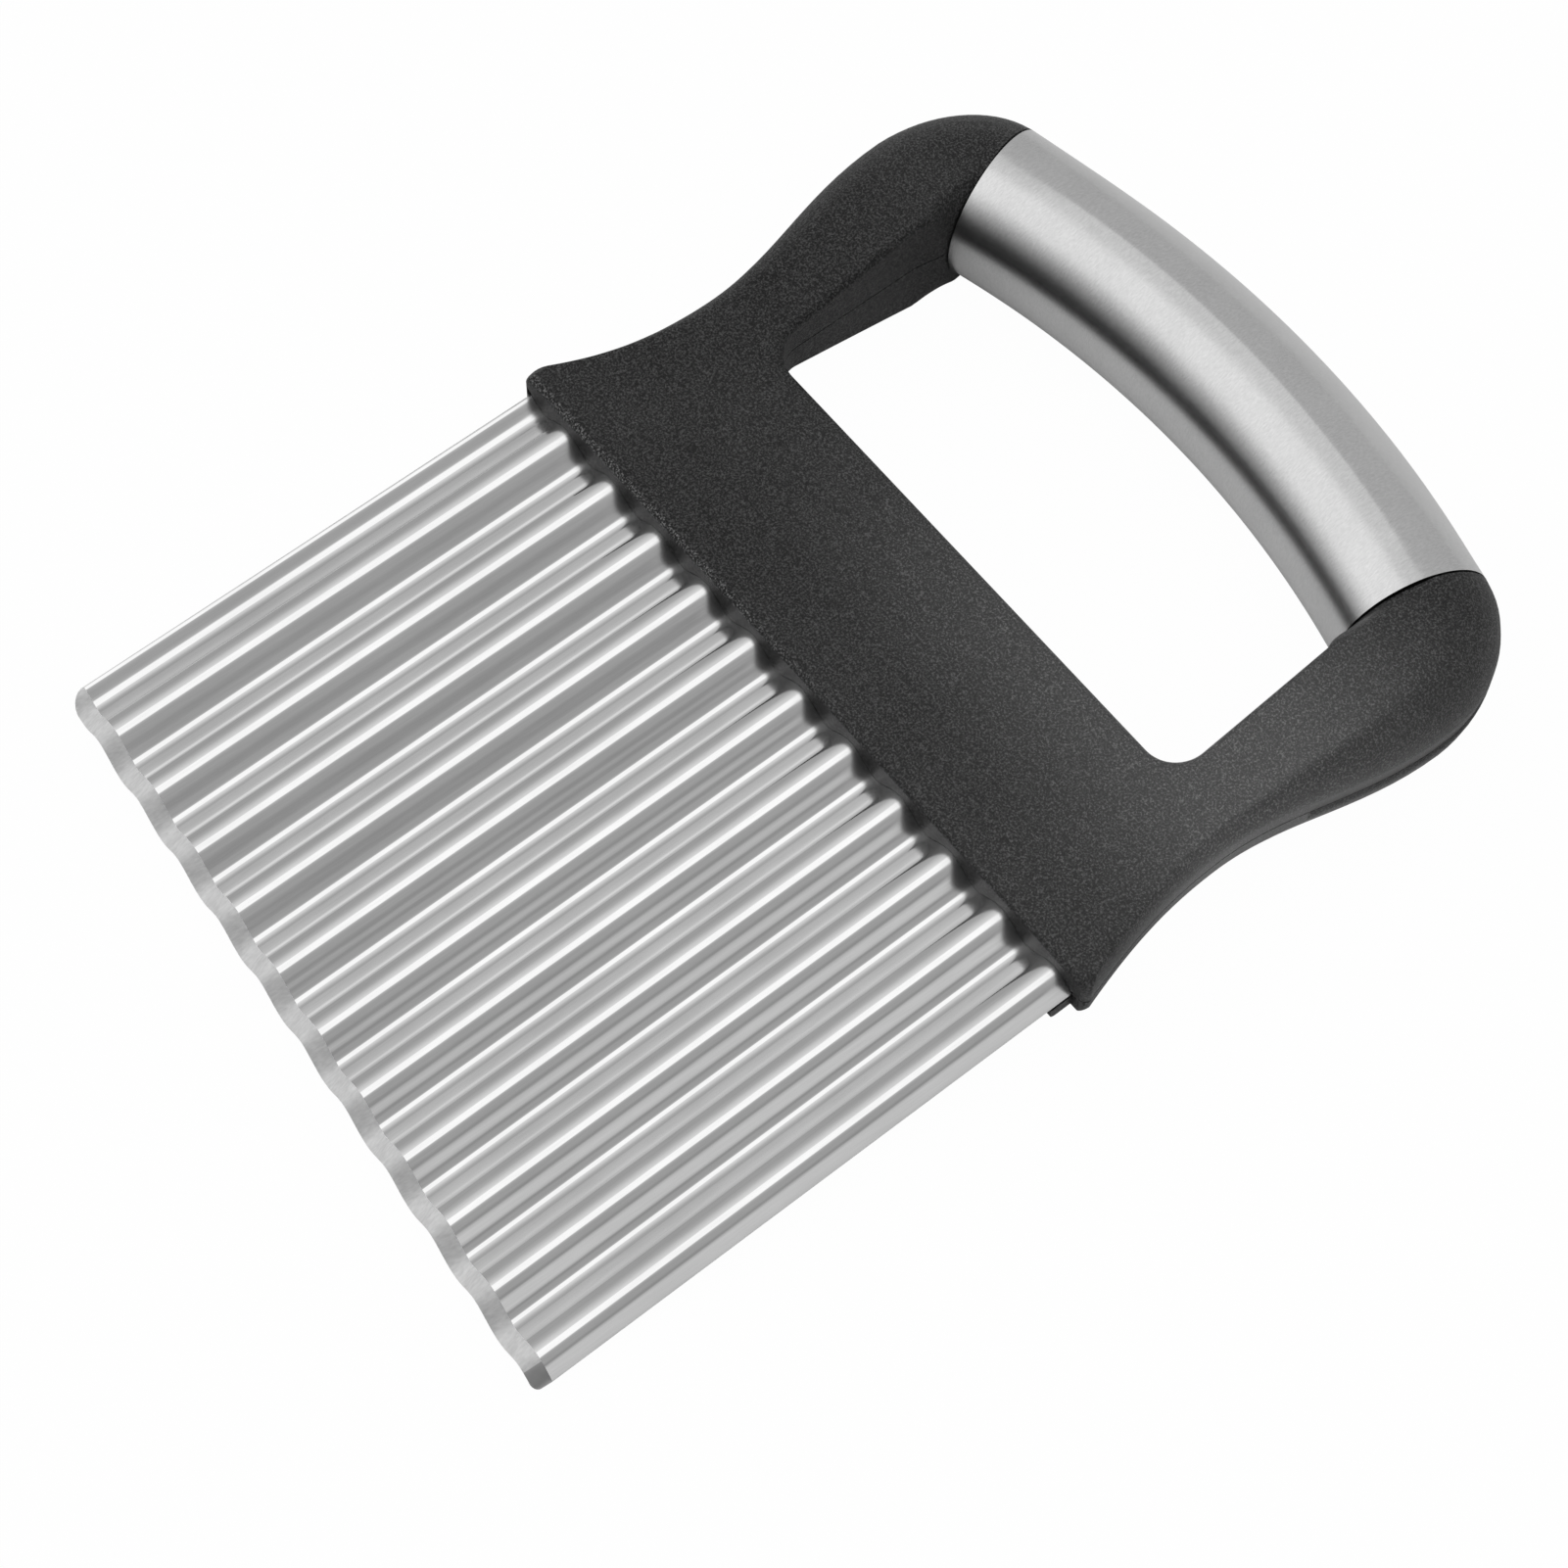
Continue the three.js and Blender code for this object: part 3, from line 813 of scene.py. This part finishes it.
def moulded_plastic(name):
    """Near-black plastic with a fine grain; a painted highlight on the lip's edge, a painted sheen
    to the right.
    """
    material, finish, shader = new_finish(name, Specular_IOR_Level=0.3, Coat_Roughness=0.3)
    place = object_place(finish)
    grain = noise(finish, place, 3500, 3, 0.7)
    patches = noise(finish, place, 45, 3)
    speck = ramp(finish, grain, ((0.46, 0), (0.63, 1)))
    x, y, z = tool_place(finish)
    below, behind = y + LIP_DROP, z - HALF_BAR
    near_lip = fade(finish, below * below + behind * behind, *LIP_HIGHLIGHT_NEAR)
    # A painted highlight along the lip's front edge, paler and more speckled, fading out to the
    # right.
    tip_steel_or_lip_highlight = near_lip * fade(finish, x, *LIP_HIGHLIGHT_LEFT)
    # A painted sheen towards the right arm and the window's corner: paler in the base colour, and
    # clear-coated.
    beside_window = 0.2 + 0.8 * fade(finish, y, *SHEEN_ABOVE)
    painted_sheen = beside_window * fade(finish, x, *SHEEN_RIGHT) * fade(finish, y, *SHEEN_BELOW)
    tone = speck * (0.6 + 0.5 * tip_steel_or_lip_highlight) + patches * 0.2 + 0.22 * painted_sheen
    finish.feed(shader, {
        "Base Color": ramp(finish, tone, ((0.06, 0.001), (0.7, 0.088), (1, 0.24))),
        "Roughness": 0.4 + 0.14 * patches,
        # The painted sheen's zone also gets a clear coat.
        "Coat Weight": 0.9 * painted_sheen,
        "Normal": bump(finish, grain, 1, 0.0003),
    })
    return material


# Where the polish ends along Y, beside the handle
DULL_BESIDE_LIP = (-0.006, -0.001)


def polished_steel(name):
    """Mirror-polished sheet with faint lines along the corrugation, duller beside the handle."""
    material, finish, shader = new_finish(name, Metallic=1)
    lines = noise(finish, object_place(finish, (1, 0.02, 1)), 4000, 2)
    clouds = noise(finish, object_place(finish), 70, 3)
    dull = fade(finish, tool_place(finish)[1], *DULL_BESIDE_LIP)
    finish.feed(shader, {
        "Base Color": ramp(finish, lines * 0.5 + clouds * 0.5, ((0.3, 0.68), (0.7, 0.76))),
        "Roughness": 0.03 + 0.05 * clouds + 0.16 * dull,
        "Normal": bump(finish, lines, 0.03, 0.00002),
    })
    return material


def ground_steel(name):
    """The satin bevel: grinding lines that run up from the cutting edge."""
    material, finish, shader = new_finish(name, Metallic=1)
    lines = noise(finish, object_place(finish, (1, 0.05, 1)), 3000, 3)
    clouds = noise(finish, object_place(finish), 500, 3)
    finish.feed(shader, {
        "Base Color": ramp(finish, lines * 0.6 + clouds * 0.4, ((0.3, 0.74), (0.7, 0.92))),
        "Roughness": 0.74 + 0.1 * lines,
        "Normal": bump(finish, lines, 0.2, 0.00003),
    })
    return material


def brushed_steel(name):
    """Satin tube, brushed round its section, so the lines are fine along the arch."""
    material, finish, shader = new_finish(name, Metallic=1)
    lines = noise(finish, object_place(finish, (1, 0.25, 0.25)), 5200, 3, 0.65)
    clouds = noise(finish, object_place(finish), 120, 4)
    finish.feed(shader, {
        "Base Color": ramp(finish, lines * 0.75 + clouds * 0.25, ((0.3, 0.55), (0.7, 0.69))),
        "Roughness": 0.16 + 0.08 * lines + 0.05 * clouds,
        "Normal": bump(finish, lines, 0.2, 0.00003),
    })
    return material


def plain_steel(name):
    material, finish, shader = new_finish(name, Metallic=1)
    clouds = noise(finish, object_place(finish), 400, 3)
    finish.feed(shader, {
        "Base Color": ramp(finish, clouds, ((0.3, 0.55), (0.7, 0.67))),
        "Roughness": 0.45 + 0.15 * clouds,
    })
    return material


# Camera, floor and light

# In the cutter's own frame; the focal length is in pixels of the image
CAMERA_PLACE = Vector((0.18355, -0.15954, 0.44524))
CAMERA_RIGHT = Vector((0.62622, 0.77947, 0.01689))
CAMERA_AHEAD = Vector((-0.3464, 0.29758, -0.88964))
CAMERA_NEAREST = 0.01
FOCAL_LENGTH = 4038.68
IMAGE_WIDTH = 1601
SENSOR_WIDTH = 36


def make_camera():
    data = bpy.data.cameras.new("camera")
    data.sensor_fit = "HORIZONTAL"
    data.sensor_width = SENSOR_WIDTH
    data.lens = SENSOR_WIDTH * FOCAL_LENGTH / IMAGE_WIDTH
    data.clip_start = CAMERA_NEAREST
    camera = bpy.data.objects.new("camera", data)
    bpy.context.scene.collection.objects.link(camera)
    ahead = CAMERA_AHEAD.normalized()
    right = (CAMERA_RIGHT - CAMERA_RIGHT.dot(ahead) * ahead).normalized()
    up = right.cross(ahead)
    axes = Matrix((right, up, -ahead)).transposed().to_4x4()
    camera.matrix_world = LAID @ Matrix.Translation(CAMERA_PLACE) @ axes
    bpy.context.scene.camera = camera


FLOOR_SIZE = 4
FLOOR_DROP = 0.0002
FLOOR_GREY = 0.8
# Along Y, where the dark zone in front of the cutter ends in what metal reflects of the floor
FLOOR_LIGHTENS = (-0.12, -0.08)
FLOOR_REFLECTED = 0.62


def make_floor():
    """White to the camera, with the cutter's shadow; dark in front of the cutter to metal."""
    place = (0, 0, -FLOOR_DROP)
    floor = begin(bpy.ops.mesh.primitive_plane_add, "floor", size=FLOOR_SIZE, location=place)
    material = bpy.data.materials.new("pale_floor")
    material.use_nodes = True
    finish = Finish(material.node_tree)
    nodes = material.node_tree.nodes
    nodes.remove(nodes["Principled BSDF"])
    camera_ray = finish.add("ShaderNodeLightPath", output="Is Camera Ray")
    glossy = Value(finish, camera_ray.socket.node.outputs["Is Glossy Ray"])
    through = Value(finish, camera_ray.socket.node.outputs["Is Transmission Ray"])
    matt = finish.add("ShaderNodeBsdfDiffuse", inputs={"Color": grey(FLOOR_GREY)})
    near = fade(finish, split(finish, object_place(finish))[1], *FLOOR_LIGHTENS)
    strength = camera_ray + FLOOR_REFLECTED * glossy * near + through
    glow = finish.add("ShaderNodeEmission", inputs={"Color": grey(1), "Strength": strength})
    share = 0.98 * camera_ray + glossy * (0.97 - 0.85 * near)
    mixed = finish.add("ShaderNodeMixShader", inputs={0: share, 1: matt, 2: glow})
    finish.feed(nodes["Material Output"], {"Surface": mixed})
    floor.data.materials.append(material)


# The studio's brightness by degrees: from straight up, across the blade to the right; up from the
# horizon in front of the blade, where the light stands more to the left; and up from the horizon
# behind the grip.
ACROSS = (
    (-90, 0.45), (-68, 0.45), (-50, 0.54), (-30, 0.76), (-16, 0.88), (-10, 0.95), (-7, 1.3),
    (21, 1.3), (25, 0.58), (32, 0.46), (46, 0.44), (50, 0.36), (52, 0.36), (54.5, 0.6),
    (57, 0.72), (90, 0.6),
)
IN_FRONT = (
    (0, 0.03), (8, 0.04), (14, 0.1), (35, 0.5), (44, 0.76), (58, 1.1), (64, 1.15), (90, 1.15),
)
BEHIND = ((0, 0.55), (90, 0.62))
# The studio's front and rear take over between these directions along Y.
TO_FRONT = (0.04, -0.12)
TO_REAR = (0.34, 0.42)
FRONT_LEAN = 0.75


def make_world():
    """White to the camera; to all else a studio with a broad softbox overhead and dimmer sides."""
    world = bpy.data.worlds.new("studio")
    bpy.context.scene.world = world
    world.use_nodes = True
    finish = Finish(world.node_tree)
    background = world.node_tree.nodes["Background"]
    x, y, z = split(finish, finish.add("ShaderNodeTexCoord", output="Generated"))

    def graded(angle, low, high, stops):
        share = (angle * math.degrees(1) - low) / (high - low)
        places = [((degrees - low) / (high - low), level) for degrees, level in stops]
        return ramp(finish, share, places)

    aside = finish.add("ShaderNodeMath", {"operation": "ARCTAN2"}, {0: x, 1: z})
    level = graded(aside, -90, 90, ACROSS)
    ends = ((TO_FRONT, z - FRONT_LEAN * x, IN_FRONT), (TO_REAR, z, BEHIND))
    for change, height, stops in ends:
        rise = finish.add("ShaderNodeMath", {"operation": "ARCSINE"}, {0: height})
        end_level = graded(rise, 0, 90, stops)
        inputs = {"Factor": fade(finish, y, *change), "A": level, "B": end_level}
        level = finish.add("ShaderNodeMix", {"data_type": "FLOAT"}, inputs)
    camera_ray = finish.add("ShaderNodeLightPath", output="Is Camera Ray")
    strength = level * (1 - camera_ray) + camera_ray
    finish.feed(background, {"Color": grey(1), "Strength": strength})


LAMP_PLACE = Vector((0.3, -0.1, 0.8))
LAMP_SIZE = 0.5
LAMP_RADIANCE = 1


def make_lamp():
    """A soft lamp over the right shoulder, for shade on the plastic and on the floor."""
    data = bpy.data.lights.new("key", "AREA")
    data.shape = "SQUARE"
    data.size = LAMP_SIZE
    data.energy = LAMP_RADIANCE * math.pi * LAMP_SIZE ** 2
    lamp = bpy.data.objects.new("key", data)
    bpy.context.scene.collection.objects.link(lamp)
    lamp.location = LAMP_PLACE
    lamp.rotation_euler = LAMP_PLACE.to_track_quat("Z", "Y").to_euler()
    lamp.visible_glossy = False


# The cutter

def make_room(piece, ending):
    """Cuts the holes for the pins or the plugs, a little wider than these."""
    for name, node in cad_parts.items():
        if name.endswith(ending):
            core = copy_of(node, name + "_room")
            edit(core)
            bpy.ops.mesh.select_all(action="SELECT")
            bpy.ops.mesh.remove_doubles(threshold=MERGE_DISTANCE)
            low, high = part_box(name)
            bpy.ops.transform.resize(value=[ROOM] * 3, center_override=(low + high) / 2)
            leave()
            carve(piece, core)


def dress(piece, node, slot, *materials):
    """Lays a finished piece on the table, gives it its finishes and body, and hides its imported
    part. The slot is not used.
    """
    piece.matrix_world = LAID
    activate(piece)
    apply_place()
    for material in materials:
        piece.data.materials.append(material)
    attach(piece, "root")
    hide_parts(node)


def build_blade():
    blade = make_blade()
    polished = polished_steel("polished_blade")
    ground = ground_steel("ground_bevel")
    tip_steel_or_lip_highlight = plain_steel("rubbed_tip")
    dress(blade, "blade", "polished_blade", polished, ground, tip_steel_or_lip_highlight)
    make_room(blade, "pin")
    back = LAID.inverted()
    back_turn = back.to_3x3()

    def on_bevel(face):
        if (back_turn @ face.normal).z < BEVEL_FACING:
            return False
        places = [back @ point.co for point in face.verts]
        return all(place.y - edge_at(place.x) < BEVEL_MARGIN * BEVEL_LENGTH for place in places)

    def on_tip(face):
        x = (back @ face.calc_center_median()).x
        return on_bevel(face) and x > BLADE_ENDS[1] - TIP_FACET

    edit(blade)
    for slot, test in ((1, on_bevel), (2, on_tip)):
        pick(blade, "FACE", test)
        blade.active_material_index = slot
        bpy.ops.object.material_slot_assign()
        bpy.ops.mesh.region_to_loop()
        bpy.ops.mesh.mark_sharp()
    leave()
    smooth(blade, STEEL_ANGLE)


def build_handle():
    plastic = moulded_plastic("handle_plastic")
    body = make_body()
    for name, node, side in (
        ("front_moulding", "front_shell", 1), ("rear_moulding", "rear_shell", -1),
    ):
        shell = make_shell(body, name, side)
        dress(shell, node, "handle_plastic", plastic)
        make_room(shell, "pin")
        make_room(shell, "plug")
        smooth(shell, PLASTIC_ANGLE)
        modify(shell, "WEIGHTED_NORMAL", keep_sharp=True)
    bpy.data.objects.remove(body, do_unlink=True)


def build_grip():
    tube = make_tube()
    dress(tube, "grip_tube", "brushed_grip", brushed_steel("brushed_grip"))
    smooth(tube, STEEL_ANGLE)


def finish_hidden():
    """The plugs and pins keep their solids, with finishes of their own."""
    finishes = {"plug": moulded_plastic("plug_plastic"), "pin": plain_steel("pin_steel")}
    for name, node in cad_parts.items():
        for ending, material in finishes.items():
            if name.endswith(ending):
                node.data.materials.clear()
                node.data.materials.append(material)


bpy.context.scene.view_settings.view_transform = "Standard"
make_camera()
build_blade()
build_handle()
build_grip()
finish_hidden()
make_floor()
make_world()
make_lamp()
